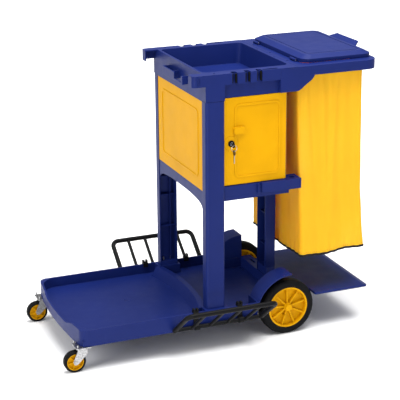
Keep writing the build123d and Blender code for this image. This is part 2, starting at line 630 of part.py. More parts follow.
with BuildPart() as lock_key:
    key_profile(RING_Y + 5, LOCK_Z, "y", 6.2, RING_Y + 5, plug_front_y + 18, (RING_Y, LOCK_Z))
save(lock_key.part, "lock_key")

spare_z = LOCK_Z - 2 * RING_R
with BuildPart() as key_ring:
    with Locations((LOCK_X, RING_Y, LOCK_Z - RING_R)):
        Torus(RING_R, RING_WIRE, rotation=(90, 0, 0))
save(key_ring.part, "key_ring")

with BuildPart() as spare_key:
    key_profile(RING_Y, spare_z - 5, "z", 6.2, spare_z - 5, spare_z - 41, (RING_Y, spare_z))
save(spare_key.part, "spare_key")

# ---------------------------------------------------------------- tool tray
with BuildPart() as top_tray:
    # top plate with its two front horns
    block(TRAY_FRONT_X, TRAY_REAR_X, -TOP_HALF_W, TOP_HALF_W, TOP_Z - WALL, TOP_Z)
    for side in SIDES.values():
        with BuildSketch(Plane.XY.offset(RAIL_BOTTOM_Z)):
            with Locations(((HORN_X + POST_X1) / 2, side * (HORN_IN_Y + TOP_HALF_W) / 2)):
                Rectangle(POST_X1 - HORN_X, TOP_HALF_W - HORN_IN_Y)
            tip = vertices().group_by(Axis.X)[0].sort_by(Axis.Y)[-1 if side > 0 else 0]
            fillet(tip, 12)
        extrude(amount=TOP_Z - RAIL_BOTTOM_Z)
        # the horn is an open hook: lip in front, skirt outside, plate on top
        block(HORN_X + WALL, TRAY_FRONT_X, side * (HORN_IN_Y - 1), side * (TOP_HALF_W - WALL),
              RAIL_BOTTOM_Z - 1, TOP_Z - WALL, Mode.SUBTRACT)
        # cap over the front post
        block(TRAY_FRONT_X, POST_X1, side * (POST_IN_Y - WALL), side * TOP_HALF_W, POST_TOP_Z, TOP_Z - 1)
        block(TRAY_FRONT_X + WALL, POST_X1 - WALL, side * (POST_IN_Y - WALL - 1),
              side * (TOP_HALF_W - WALL),
              POST_TOP_Z - 1, TOP_Z - WALL, Mode.SUBTRACT)
        # outer rail skirt, and the side wall set back behind it
        block(POST_X1 - 1, GUSSET_X0 - GAP, side * (TOP_HALF_W - WALL), side * TOP_HALF_W, RAIL_BOTTOM_Z,
              TOP_Z)
        block(POST_X1 - 1, GUSSET_X0 + 40, side * (DOOR_Y - WALL), side * DOOR_Y, SIDE_WALL_Z, TOP_Z - 1)
    # front wall between the caps
    block(TRAY_FRONT_X, TRAY_FRONT_X + WALL, -POST_IN_Y, POST_IN_Y, TRAY_WALL_BOTTOM_Z, TOP_Z)
    # basin: rounded box hung from the plate
    basin_mid = ((BASIN_X0 + BASIN_X1) / 2, 0)
    basin_len = BASIN_X1 - BASIN_X0
    for offset, mode in ((THIN, Mode.ADD), (0, Mode.SUBTRACT)):
        for z, draft in ((BASIN_FLOOR_Z - offset, 8), (TOP_Z, 0)):
            with BuildSketch(Plane.XY.offset(z)):
                with Locations(basin_mid):
                    RectangleRounded(basin_len - 2 * draft + 2 * offset,
                                     2 * (BASIN_HALF_W - draft + offset),
                                     20 - draft / 2 + offset)
        loft(ruled=True, mode=mode)
    # tool slots cut in from the outer edge, long oval hand slots, small drain holes
    for side in SIDES.values():
        for x in SLOT_XS:
            block(x - SLOT_W / 2, x + SLOT_W / 2, side * (TOP_HALF_W - SLOT_DEPTH + 11),
                  side * (TOP_HALF_W + 1),
                  RAIL_BOTTOM_Z - 1, TOP_Z + 1, Mode.SUBTRACT)
            rod("z", (x, side * (TOP_HALF_W - SLOT_DEPTH + 11), TOP_Z), SLOT_W / 2, 9, Mode.SUBTRACT)
            block(x - SLOT_W / 2 - THIN, x - SLOT_W / 2, side * (DOOR_Y - 1), side * TOP_HALF_W,
                  RAIL_BOTTOM_Z, TOP_Z)
            block(x + SLOT_W / 2, x + SLOT_W / 2 + THIN, side * (DOOR_Y - 1), side * TOP_HALF_W,
                  RAIL_BOTTOM_Z, TOP_Z)
        with BuildSketch(Plane.XY.offset(TOP_Z - 2 * WALL)):
            with Locations(((OVAL_X0 + OVAL_X1) / 2, side * (OVAL_Y + 8))):
                SlotOverall(OVAL_X1 - OVAL_X0, OVAL_W)
        extrude(amount=3 * WALL, mode=Mode.SUBTRACT)
        rod("z", (-32, side * 226, TOP_Z), DRAIN_R, 12, Mode.SUBTRACT)
        rod("z", (TRAY_REAR_X - 6, side * 70, TOP_Z), 3, 12, Mode.SUBTRACT)
        # upper door hinge boss and bosses for the screws out of the posts
        block(HINGE_X - 8, HINGE_X + 8, side * (HINGE_Y - 8), side * (DOOR_Y - 1), SIDE_WALL_Z,
              SIDE_WALL_Z + 9)
        rod("z", (HINGE_X, side * HINGE_Y, SIDE_WALL_Z), HINGE_PIN_R, 2 * HINGE_BORE_DEPTH, Mode.SUBTRACT)
        rod("x", (6, side * SIDE_SCREW_Y, TRAY_SCREW_Z), 5, 12)
        rod("x", (0, side * SIDE_SCREW_Y, TRAY_SCREW_Z), SCREW_HOLE_R, 30, Mode.SUBTRACT)
        # grip grooves on the outside of the horn
        for x in HORN_GROOVE_XS:
            block(x - 1, x + 1, side * (TOP_HALF_W - 1.2), side * (TOP_HALF_W + 1), RAIL_BOTTOM_Z + 6,
                  TOP_Z - 8, Mode.SUBTRACT)
    # two-cell holder moulded on the front wall
    block(-91, TRAY_FRONT_X + 1, -92, 92, 905, 933)
    block(-87, TRAY_FRONT_X, -88, -2, 904, 934, Mode.SUBTRACT)
    block(-87, TRAY_FRONT_X, 2, 88, 904, 934, Mode.SUBTRACT)
    block(-92, -86, -80, -16, 911, 934, Mode.SUBTRACT)
save(top_tray.part, "top_tray")

with BuildPart() as tool_grips:
    for side in SIDES.values():
        for x in SLOT_XS:
            for end in (-1, 1):
                with BuildSketch(Plane.XY.offset(RAIL_BOTTOM_Z + 4)):
                    with Locations((x + end * (SLOT_W / 2 - 2.6), side * (TOP_HALF_W - 7))):
                        RectangleRounded(5, 9, 2)
                extrude(amount=TOP_Z - RAIL_BOTTOM_Z - 8)
save(tool_grips.part, "tool_grips")

# ---------------------------------------------------------------- bag frame
frame_x0 = TRAY_REAR_X + GAP
frame_mid_x = (frame_x0 + FRAME_REAR_X) / 2
mouth_mid = ((MOUTH_X0 + MOUTH_X1) / 2, 0)


def frame_outline(inset):
    """Plan of the bag frame: square at the tray, rounded at the free end."""
    with Locations((frame_mid_x - inset / 2, 0)):
        Rectangle(FRAME_REAR_X - frame_x0 - inset, 2 * (TOP_HALF_W - inset))
    fillet(vertices().group_by(Axis.X)[-1], FRAME_CORNER_R - inset)


with BuildPart() as bag_frame:
    with BuildSketch(Plane.XY.offset(FRAME_SKIRT_Z)):
        frame_outline(0)
    extrude(amount=TOP_Z - FRAME_SKIRT_Z)
    fillet(edges().group_by(Axis.Z)[-1], 2.5)
    with BuildSketch(Plane.XY.offset(FRAME_SKIRT_Z - 1)):
        frame_outline(WALL)
        with Locations((frame_x0, 0)):
            Rectangle(2 * WALL, 2 * (TOP_HALF_W - WALL))
    extrude(amount=TOP_Z - WALL - FRAME_SKIRT_Z + 1, mode=Mode.SUBTRACT)
    # mouth of the bag, with a lip below the plate that the bag's hem goes around
    with BuildSketch(Plane.XY.offset(LIP_BOTTOM_Z)):
        with Locations(mouth_mid):
            RectangleRounded(MOUTH_X1 - MOUTH_X0 + 2 * THIN, 2 * (MOUTH_HALF_W + THIN), 24 + THIN)
    extrude(amount=TOP_Z - 1 - LIP_BOTTOM_Z)
    with BuildSketch(Plane.XY.offset(LIP_BOTTOM_Z - 1)):
        with Locations(mouth_mid):
            RectangleRounded(MOUTH_X1 - MOUTH_X0, 2 * MOUTH_HALF_W, 24)
    extrude(amount=TOP_Z - LIP_BOTTOM_Z + 2, mode=Mode.SUBTRACT)
    # gussets that carry the frame from the cabinet's rear corners
    for side in SIDES.values():
        plane, depth = slab_y(side * (TOP_HALF_W - WALL), side * TOP_HALF_W)
        with BuildSketch(plane):
            with BuildLine():
                Polyline((frame_x0 + 1, TOP_Z - WALL - GAP), (GUSSET_X0, TOP_Z - WALL - GAP),
                         (GUSSET_X0, GUSSET_BOTTOM_Z), (GUSSET_X1, GUSSET_BOTTOM_Z))
                Spline((GUSSET_X1, GUSSET_BOTTOM_Z), (GUSSET_X1 + 30, GUSSET_BOTTOM_Z + 18),
                       (GUSSET_TIP_X, FRAME_SKIRT_Z + 1), tangents=((1, 0.15), (0.35, 1)))
                Line((GUSSET_TIP_X, FRAME_SKIRT_Z + 1), (frame_x0 + 1, FRAME_SKIRT_Z + 1))
                Line((frame_x0 + 1, FRAME_SKIRT_Z + 1), (frame_x0 + 1, TOP_Z - WALL - GAP))
            make_face()
        extrude(amount=depth)
        # flange that is screwed to the tray's side wall
        block(GUSSET_X0, GUSSET_X0 + WALL, side * (DOOR_Y + GAP), side * (TOP_HALF_W - 1), GUSSET_BOTTOM_Z,
              TOP_Z - WALL - GAP)
        block(GUSSET_X0, GUSSET_X0 + 30, side * (DOOR_Y + GAP), side * (DOOR_Y + GAP + THIN),
              GUSSET_BOTTOM_Z,
              TOP_Z - WALL - GAP)
        for z in FRAME_SCREW_ZS:
            rod("y", (FRAME_SCREW_X, side * DOOR_Y, z), SCREW_HOLE_R, 12, Mode.SUBTRACT)
    # hinge lugs of the lid and the row of small holes in the strip beside it
    for y in LID_HINGE_YS:
        for end in (-1, 1):
            block(LID_PIVOT_X - LID_KNUCKLE_R, LID_PIVOT_X + LID_KNUCKLE_R, y + end * 14, y + end * 20,
                  TOP_Z - 1, LID_PIVOT_Z)
            rod("y", (LID_PIVOT_X, y + end * 17, LID_PIVOT_Z), LID_KNUCKLE_R, 6)
        rod("y", (LID_PIVOT_X, y, LID_PIVOT_Z), LID_PIN_R, 60, Mode.SUBTRACT)
    for y in (-140, 0, 140):
        rod("z", (frame_x0 + 10.7, y, TOP_Z), DRAIN_R, 12, Mode.SUBTRACT)
save(bag_frame.part, "bag_frame")

with BuildPart() as lid_hinge_pins:
    for y in LID_HINGE_YS:
        rod("y", (LID_PIVOT_X, y, LID_PIVOT_Z), LID_PIN_R, 42)
save(lid_hinge_pins.part, "lid_hinge_pins")

# ---------------------------------------------------------------- lid
lid_mid = ((LID_X0 + LID_X1) / 2, 0)
lid_len = LID_X1 - LID_X0


def lid_section(z, inset, corner):
    """Plan of the lid at one height."""
    with BuildSketch(Plane.XY.offset(z)) as section:
        with Locations(lid_mid):
            RectangleRounded(lid_len - 2 * inset, 2 * (LID_HALF_W - inset), corner)
    return section.sketch


with BuildPart() as bag_lid:
    extrude(lid_section(LID_Z0, 0, 34), amount=LID_SHOULDER_Z - LID_Z0)
    loft([lid_section(LID_SHOULDER_Z, 0, 34), lid_section(LID_TOP_Z, LID_BEVEL, 24)], ruled=True)
    # hollow below
    hollow_z = LID_SHOULDER_Z - THIN
    extrude(lid_section(LID_Z0 - 1, THIN, 31), amount=hollow_z - LID_Z0 + 1, mode=Mode.SUBTRACT)
    loft([lid_section(hollow_z - 0.01, THIN, 31), lid_section(LID_TOP_Z - THIN, LID_BEVEL + 1, 23)],
         ruled=True, mode=Mode.SUBTRACT)
    # border groove around the flat top
    groove_edge = LID_BEVEL + LID_GROOVE_INSET
    with BuildSketch(Plane.XY.offset(LID_TOP_Z)):
        with Locations(lid_mid):
            RectangleRounded(lid_len - 2 * groove_edge, 2 * (LID_HALF_W - groove_edge), 15)
            inner_edge = groove_edge + LID_GROOVE_W
            RectangleRounded(lid_len - 2 * inner_edge, 2 * (LID_HALF_W - inner_edge), 15 - LID_GROOVE_W,
                             mode=Mode.SUBTRACT)
    extrude(amount=-LID_GROOVE_DEPTH, mode=Mode.SUBTRACT)
    # lifting tab that rises off the free edge
    tab_run = Vector(26, 0, 13)
    tab_plane = Plane(origin=(551.5, 0, LID_TOP_Z - 10), x_dir=(0, 1, 0), z_dir=(-tab_run.Z, 0, tab_run.X))
    with BuildSketch(tab_plane):
        with BuildLine():
            Polyline((-103, 0), (103, 0), (78, -tab_run.length), (-78, -tab_run.length), close=True)
        make_face()
        fillet(vertices().group_by(Axis.X)[-1], 6)
    extrude(amount=WALL)
    # knuckles around the hinge pins
    for y in LID_HINGE_YS:
        rod("y", (LID_PIVOT_X, y, LID_PIVOT_Z), LID_KNUCKLE_R, 26)
        block(LID_PIVOT_X, LID_X0 + 1, y - 13, y + 13, LID_Z0, LID_Z0 + 6)
        rod("y", (LID_PIVOT_X, y, LID_PIVOT_Z), LID_PIN_R + RUN, 40, Mode.SUBTRACT)
save(bag_lid.part, "bag_lid")


# ---------------------------------------------------------------- bag
def bag_prism(half, inset, bottom_z, mode=Mode.ADD):
    """Tapered tube of the bag: its side outline drawn in by an inset, extruded across the cart."""
    plane, depth = slab_y(-half, half)
    front = [(x0 + inset, z) for z, x0, x1 in BAG_PROFILE[:-1]]
    rear = [(x1 - inset, z) for z, x0, x1 in reversed(BAG_PROFILE[:-1])]
    low_z, low_x0, low_x1 = BAG_PROFILE[-1]
    with BuildSketch(plane) as outline:
        with BuildLine() as edge:
            Polyline(*front, (low_x0 + inset, bottom_z), (low_x1 - inset, bottom_z), *rear, close=True)
        make_face(edge.edges())
    extrude(outline.sketch, amount=depth, mode=mode)


with BuildPart() as bag:
    bag_bottom_z = BAG_PROFILE[-1][0]
    bag_prism(BAG_HALF_W, 0, bag_bottom_z)
    bag_prism(BAG_HALF_W - BAG_WALL, BAG_WALL, bag_bottom_z + BAG_WALL, Mode.SUBTRACT)
    for side in SIDES.values():
        for x in PEG_XS:
            rod("y", (x, side * BAG_HALF_W, PEG_Z), PEG_R + 1, 8 * BAG_WALL, Mode.SUBTRACT)
save(bag.part, "bag")

with BuildPart() as bag_binding:
    z, x0, x1 = BAG_PROFILE[-1]
    with BuildSketch(Plane.XY.offset(z - BINDING)):
        with Locations(((x0 + x1) / 2, 0)):
            Rectangle(x1 - x0, 2 * BAG_HALF_W)
            Rectangle(x1 - x0 - 2 * BINDING, 2 * (BAG_HALF_W - BINDING), mode=Mode.SUBTRACT)
    extrude(amount=BINDING)
save(bag_binding.part, "bag_binding")

with BuildPart() as bag_pegs:
    for side in SIDES.values():
        for x in PEG_XS:
            rod("y", (x, side * (MOUTH_HALF_W + THIN + 5), PEG_Z), PEG_R, 10)
            rod("y", (x, side * (MOUTH_HALF_W + THIN + 11), PEG_Z), PEG_R + 2, 3)
save(bag_pegs.part, "bag_pegs")

# ---------------------------------------------------------------- rear platform
with BuildPart() as rear_platform:
    platform_z0 = PLATFORM_Z - PLATFORM_THICK
    with BuildSketch(Plane.XY.offset(platform_z0)):
        with Locations(((PLATFORM_STEP_X + PLATFORM_X1) / 2, 0)):
            Rectangle(PLATFORM_X1 - PLATFORM_STEP_X, 2 * PLATFORM_HALF_W)
        fillet(vertices().group_by(Axis.X)[-1], 16)
        fillet(vertices().group_by(Axis.X)[0], 8)
        with Locations(((FOLD_X + PLATFORM_STEP_X) / 2, 0)):
            Rectangle(PLATFORM_STEP_X - FOLD_X + 2, 2 * PLATFORM_NECK_HALF_W)
    extrude(amount=PLATFORM_THICK)
    # bevelled rear edge
    plane, depth = slab_y(-PLATFORM_HALF_W - 1, PLATFORM_HALF_W + 1)
    with BuildSketch(plane):
        with BuildLine():
            Polyline((PLATFORM_X1 - 17, PLATFORM_Z), (PLATFORM_X1 + 1, PLATFORM_Z - 5.3),
                     (PLATFORM_X1 + 1, PLATFORM_Z + 1), (PLATFORM_X1 - 17, PLATFORM_Z + 1), close=True)
        make_face()
    extrude(amount=depth, mode=Mode.SUBTRACT)
    # hollow below, with ribs
    for x0, x1, half in ((PLATFORM_STEP_X + 5, PLATFORM_X1 - 22, PLATFORM_HALF_W - 5),
                         (FOLD_X + 12, PLATFORM_STEP_X + 6, PLATFORM_NECK_HALF_W - 5)):
        block(x0, x1, -half, half, platform_z0 - 1, PLATFORM_Z - WALL, Mode.SUBTRACT)
    for y in (-132, -66, 0, 66, 132):
        block(FOLD_X + 2, PLATFORM_X1 - 20, y - RIB / 2, y + RIB / 2, platform_z0, PLATFORM_Z - 1)
    # rolled front edge around the hinge pins, notched for the lugs
    rod("y", (FOLD_X, 0, FOLD_Z), FOLD_R, 2 * PLATFORM_NECK_HALF_W)
    for y in FOLD_LUG_YS:
        block(FOLD_X - 8, FOLD_X + 6, y - FOLD_LUG_W / 2 - 0.5, y + FOLD_LUG_W / 2 + 0.5, platform_z0 - 1,
              PLATFORM_Z + 1, Mode.SUBTRACT)
        rod("y", (FOLD_X, y, FOLD_Z), FOLD_PIN_R + RUN, FOLD_PIN_LEN + 1, Mode.SUBTRACT)
save(rear_platform.part, "rear_platform")

with BuildPart() as platform_hinge_pins:
    for y in FOLD_LUG_YS:
        rod("y", (FOLD_X, y, FOLD_Z), FOLD_PIN_R, FOLD_PIN_LEN)
save(platform_hinge_pins.part, "platform_hinge_pins")

# ---------------------------------------------------------------- side racks and their clips
for name, side in SIDES.items():
    reach = Vector(0, side * cos(radians(RACK_TILT)), sin(radians(RACK_TILT)))
    pivot = Vector(0, side * RACK_Y, RACK_Z)

    with BuildPart() as rack:
        # outer loop
        start = pivot + Vector(RACK_X0, 0, 0)
        finish = pivot + Vector(RACK_X1, 0, 0)
        with BuildLine() as loop:
            FilletPolyline(start, start + reach * RACK_REACH, finish + reach * RACK_REACH, finish,
                           radius=24)
        with BuildSketch(Plane(origin=loop.line @ 0, z_dir=loop.line % 0)):
            Circle(RACK_R)
        sweep()
        for corner in (start, finish):
            with Locations(corner):
                Sphere(RACK_R)
        # hinge bar and cross bars
        rod("x", ((RACK_X0 + RACK_X1) / 2, side * RACK_Y, RACK_Z), RACK_PIN_R, RACK_X1 - RACK_X0)
        for x in RACK_BAR_XS:
            with BuildSketch(Plane(origin=pivot + Vector(x, 0, 0), z_dir=reach)):
                Circle(RACK_BAR_R)
            extrude(amount=RACK_REACH)
    save(rack.part, f"rack_{name}")

    with BuildPart() as clips:
        near_y = side * (BASE_HALF_W + GAP)
        for x in RACK_CLIP_XS:
            x0 = x - RACK_CLIP_W / 2
            x1 = x + RACK_CLIP_W / 2
            rod("x", (x, side * RACK_Y, RACK_Z), RACK_PIN_R + 3.5, RACK_CLIP_W)
            block(x0, x1, near_y, near_y + side * CLIP_WALL, RACK_Z - 3, CLIP_TOP_Z)
            block(x0, x1, near_y - side * 14, near_y + side * CLIP_WALL, BASE_RIM_Z + GAP, CLIP_TOP_Z)
            block(x0, x1, near_y - side * 14, near_y - side * (14 - CLIP_WALL), BASE_RIM_Z - 10, CLIP_TOP_Z)
            # two prongs on top that a mop frame drops between
            for prong_x in (x0, x1 - CLIP_PRONG_W):
                block(prong_x, prong_x + CLIP_PRONG_W, near_y - side * 10, near_y + side * CLIP_WALL,
                      CLIP_TOP_Z - 1, CLIP_PRONG_Z)
        rod("x", ((RACK_X0 + RACK_X1) / 2, side * RACK_Y, RACK_Z), RACK_PIN_R + RUN, RACK_X1 - RACK_X0,
            Mode.SUBTRACT)
    save(clips.part, f"rack_clips_{name}")

# ---------------------------------------------------------------- rear axle and wheels
with BuildPart() as rear_axle:
    rod("y", (AXLE_X, 0, WHEEL_R), AXLE_R, 2 * (WHEEL_OUT_Y + 5))
save(rear_axle.part, "rear_axle")

with BuildPart() as axle_washers:
    for side in SIDES.values():
        rod("y", (AXLE_X, side * (DECK_HALF_W + WHEEL_IN_Y + WALL) / 2, WHEEL_R), 14, 1.8)
    rod("y", (AXLE_X, 0, WHEEL_R), AXLE_R + RUN, 2 * BASE_HALF_W, Mode.SUBTRACT)
save(axle_washers.part, "axle_washers")

with BuildPart() as axle_caps:
    for side in SIDES.values():
        rod("y", (AXLE_X, side * (WHEEL_OUT_Y + 4), WHEEL_R), 12, 7)
        rod("y", (AXLE_X, side * (WHEEL_OUT_Y + 2.5), WHEEL_R), AXLE_R + RUN, 6, Mode.SUBTRACT)
save(axle_caps.part, "axle_caps")


def ribbed_wheel(centre, inner, outer, rim_r, bore_r, boss_r, ribs, rib_w):
    """Moulded wheel centre along Y: rim ring, web, boss and radial ribs on both faces."""
    x, z = centre
    width = outer - inner
    mid_y = (inner + outer) / 2
    with BuildSketch(xz_plane(outer)) as rings:
        with Locations((x, z)):
            Circle(rim_r)
            Circle(rim_r * 0.92, mode=Mode.SUBTRACT)
            Circle(boss_r)
    extrude(rings.sketch, amount=width)
    rod("y", (x, mid_y, z), rim_r - 1, width * 0.2)
    with BuildSketch(xz_plane(mid_y + width * 0.38)) as spokes:
        with Locations((x, z)):
            with PolarLocations(rim_r / 2, ribs, start_angle=13):
                Rectangle(rim_r - 2, rib_w)
    extrude(spokes.sketch, amount=width * 0.76)
    rod("y", (x, mid_y, z), bore_r, 2 * width, Mode.SUBTRACT)


def tyre_ring(centre, y_mid, width, outer_r, inner_r, shoulder):
    """Solid tyre: a revolved ring with rounded shoulders."""
    x, z = centre
    with BuildSketch(Plane(origin=(x, y_mid, z), x_dir=(1, 0, 0), z_dir=(0, 0, 1))) as profile:
        with Locations(((outer_r + inner_r) / 2, 0)):
            Rectangle(outer_r - inner_r, width)
        fillet(vertices().group_by(Axis.X)[-1], shoulder)
    revolve(profile.sketch, axis=Axis((x, y_mid, z), (0, 1, 0)))


for name, side in SIDES.items():
    with BuildPart() as wheel_hub:
        inner_y, outer_y = sorted((side * WHEEL_IN_Y, side * WHEEL_OUT_Y))
        ribbed_wheel((AXLE_X, WHEEL_R), inner_y, outer_y, WHEEL_RIM_R, AXLE_R + RUN, 15, 9, 5)
        rod("y", (AXLE_X - 12, side * WHEEL_OUT_Y, WHEEL_R - 28), 3, 60, Mode.SUBTRACT)
    save(wheel_hub.part, f"rear_wheel_hub_{name}")

    with BuildPart() as wheel_tyre:
        tyre_ring((AXLE_X, WHEEL_R), side * (WHEEL_IN_Y + WHEEL_OUT_Y) / 2, WHEEL_OUT_Y - WHEEL_IN_Y,
                  WHEEL_R,
                  WHEEL_RIM_R, 11)
    save(wheel_tyre.part, f"rear_wheel_tyre_{name}")

# ---------------------------------------------------------------- casters
fork_top_z = 2 * CASTER_R + 6.5
race_top_z = BASE_BOTTOM_Z - PLATE_THICK - GAP - 0.4
wheel_x = CASTER_X - CASTER_TRAIL
for name, side in SIDES.items():
    swivel_y = side * CASTER_Y

    with BuildPart() as caster_plate:
        with BuildSketch(Plane.XY.offset(BASE_BOTTOM_Z - PLATE_THICK)):
            with Locations((CASTER_X, swivel_y)):
                RectangleRounded(PLATE_SIZE, PLATE_SIZE, 6)
        extrude(amount=PLATE_THICK - 0.1)
        rod("z", (CASTER_X, swivel_y, (BASE_BOTTOM_Z + 76) / 2), KINGPIN_R, BASE_BOTTOM_Z - 0.2 - 76)
        rod("z", (CASTER_X, swivel_y, 77), 8, 2.6)
        for dx in (-PLATE_HOLE, PLATE_HOLE):
            for dy in (-PLATE_HOLE, PLATE_HOLE):
                rod("z", (CASTER_X + dx, swivel_y + dy, BASE_BOTTOM_Z), 2.7, 12, Mode.SUBTRACT)
    save(caster_plate.part, f"caster_plate_{name}")

    with BuildPart() as caster_race:
        race_h = race_top_z - fork_top_z
        rod("z", (CASTER_X, swivel_y, fork_top_z + race_h / 2), 19, race_h)
        chamfer(edges().filter_by(GeomType.CIRCLE).group_by(Axis.Z)[-1], 1.4)
        rod("z", (CASTER_X, swivel_y, fork_top_z), KINGPIN_R + RUN, 20, Mode.SUBTRACT)
    save(caster_race.part, f"caster_race_{name}")

    with BuildPart() as caster_fork:
        with BuildSketch(Plane.XY.offset(fork_top_z - 2.5)):
            with Locations((CASTER_X, swivel_y)):
                Circle(18.5)
            with Locations((CASTER_X - 6, swivel_y)):
                Rectangle(26, 2 * (CASTER_HUB_W / 2 + 3.5))
        extrude(amount=2.5)
        # two slanted legs from the crown down to the axle
        leg_in = CASTER_HUB_W / 2 + 1
        for end in (-1, 1):
            plane, depth = slab_y(swivel_y + end * leg_in, swivel_y + end * (leg_in + 2.5))
            with BuildSketch(plane):
                with BuildLine():
                    Polyline((CASTER_X + 13, fork_top_z), (CASTER_X - 19, fork_top_z),
                             (wheel_x - 8.5, CASTER_R + 3), (wheel_x - 5, CASTER_R - 8),
                             (wheel_x + 6, CASTER_R - 8), (CASTER_X + 13, fork_top_z - 18), close=True)
                make_face()
                fillet(vertices().group_by(Axis.Y)[0], 5)
            extrude(amount=depth)
        rod("z", (CASTER_X, swivel_y, fork_top_z), KINGPIN_R + RUN, 12, Mode.SUBTRACT)
        rod("y", (wheel_x, swivel_y, CASTER_R), 3.1, 60, Mode.SUBTRACT)
    save(caster_fork.part, f"caster_fork_{name}")

    with BuildPart() as caster_axle:
        rod("y", (wheel_x, swivel_y, CASTER_R), 3.0, 2 * (leg_in + 2.5) + 5)
        for end in (-1, 1):
            rod("y", (wheel_x, swivel_y + end * (leg_in + 2.5 + 1.8), CASTER_R), 5.5, 3.2)
    save(caster_axle.part, f"caster_axle_{name}")

    with BuildPart() as caster_rim:
        ribbed_wheel((wheel_x, CASTER_R), swivel_y - CASTER_TYRE_W / 2, swivel_y + CASTER_TYRE_W / 2,
                     CASTER_RIM_R,
                     4, 9, 6, 3)
        rod("y", (wheel_x, swivel_y, CASTER_R), 7, CASTER_HUB_W)
        rod("y", (wheel_x, swivel_y, CASTER_R), 3.0 + RUN, 60, Mode.SUBTRACT)
    save(caster_rim.part, f"caster_rim_{name}")

    with BuildPart() as caster_tyre:
        tyre_ring((wheel_x, CASTER_R), swivel_y, CASTER_TYRE_W, CASTER_R, CASTER_RIM_R, 5)
    save(caster_tyre.part, f"caster_tyre_{name}")


# ---------------------------------------------------------------- fasteners
def screw(axis, head_at, toward, length, radius, head_r, head_h):
    """Pan-head screw: head centre plane at head_at, shank running toward + or - along the axis."""
    step = {"x": Vector(1, 0, 0), "y": Vector(0, 1, 0), "z": Vector(0, 0, 1)}[axis] * toward
    seat = Vector(*head_at)
    rod(axis, seat - step * (head_h / 2), head_r, head_h)
    rod(axis, seat + step * (length / 2 - 0.5), radius, length + 1)


with BuildPart() as caster_screws:
    for side in SIDES.values():
        for dx in (-PLATE_HOLE, PLATE_HOLE):
            for dy in (-PLATE_HOLE, PLATE_HOLE):
                head_at = (CASTER_X + dx, side * CASTER_Y + dy, BASE_BOTTOM_Z - PLATE_THICK - 0.05)
                screw("z", head_at, 1, 13, SCREW_R, 4.6, 2.4)
save(caster_screws.part, "caster_screws")

with BuildPart() as post_screws:
    for side in SIDES.values():
        for x in POST_SCREW_XS:
            screw("z", (x, side * POST_SCREW_Y, FLOOR_Z - FLOOR_THICK - 0.1), 1, 66, POST_SCREW_R, 6.5, 4)
save(post_screws.part, "post_screws")

with BuildPart() as shelf_screws:
    for side in SIDES.values():
        for z in SHELF_SCREW_ZS:
            screw("x", (POST_X1 - WALL - 0.1, side * SIDE_SCREW_Y, z), 1, 16, SCREW_R, 5, 3)
save(shelf_screws.part, "shelf_screws")

with BuildPart() as tray_screws:
    for side in SIDES.values():
        screw("x", (POST_X1 - WALL - 0.1, side * SIDE_SCREW_Y, TRAY_SCREW_Z), 1, 14, SCREW_R, 5, 3)
save(tray_screws.part, "tray_screws")

with BuildPart() as frame_screws:
    for side in SIDES.values():
        for z in FRAME_SCREW_ZS:
            screw("y", (FRAME_SCREW_X, side * (DOOR_Y + GAP + THIN + 0.1), z), -side, 3, SCREW_R, 4, 2.5)
save(frame_screws.part, "frame_screws")
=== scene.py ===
"""Looks of the housekeeping cart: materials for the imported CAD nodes, the cloth bag, studio, camera."""

import json
import math

import bmesh
import bpy
from mathutils import Matrix, Vector, noise


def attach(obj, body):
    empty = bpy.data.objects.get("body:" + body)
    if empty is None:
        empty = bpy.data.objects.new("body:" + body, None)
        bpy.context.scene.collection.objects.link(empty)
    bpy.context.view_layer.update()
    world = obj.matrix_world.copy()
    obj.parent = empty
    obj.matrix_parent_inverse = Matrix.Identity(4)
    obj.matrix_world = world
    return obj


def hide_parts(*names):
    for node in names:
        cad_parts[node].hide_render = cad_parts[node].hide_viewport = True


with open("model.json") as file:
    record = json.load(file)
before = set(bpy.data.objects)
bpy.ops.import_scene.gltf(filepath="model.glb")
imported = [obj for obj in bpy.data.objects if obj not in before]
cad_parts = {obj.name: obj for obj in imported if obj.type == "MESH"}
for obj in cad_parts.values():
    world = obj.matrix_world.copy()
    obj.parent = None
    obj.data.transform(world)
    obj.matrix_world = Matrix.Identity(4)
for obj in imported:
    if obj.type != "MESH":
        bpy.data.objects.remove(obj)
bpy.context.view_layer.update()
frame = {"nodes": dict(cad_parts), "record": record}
nodes = frame["nodes"]

# ------------------------------------------------ colours (linear)
NAVY = (0.0055, 0.0135, 0.100)
YELLOW = (0.56, 0.275, 0.0008)
BAG_YELLOW = (0.92, 0.60, 0.022)
BAG_THROUGH = (1.0, 0.44, 0.004)   # light that has passed through the cloth
BLACK = (0.008, 0.008, 0.009)
RUBBER = (0.0035, 0.0035, 0.0038)
ZINC = (0.34, 0.34, 0.345)
BRIGHT = (0.40, 0.40, 0.41)

# ------------------------------------------------ sizes shared with the CAD part (metres)
# bag: height, front X, rear X and half width, from the hem down
BAG_STATIONS = (
    (0.9545, 0.2765, 0.5290, 0.2105),
    (0.4900, 0.2930, 0.5360, 0.2100),
    (0.4120, 0.3000, 0.5430, 0.2090),
    (0.2720, 0.3040, 0.5540, 0.2085),
)
BAG_CORNER = 0.014
BAG_CLOTH = 0.0014
AXLE = (0.247, 0.100)               # rear axle, X and Z
CASTER_AXLE = (-0.540, 0.0375)      # caster axle, X and Z
REAR_RING_PITCH = 0.0042            # between the moulded rings of a tyre
CASTER_RING_PITCH = 0.0022
GATE_MARK = ((-0.262, 0.030, 0.113), 0.011)     # centre and radius of the mould's gate mark
KEY_HEAD_Z = 0.6895                 # foot of the hanging key's head


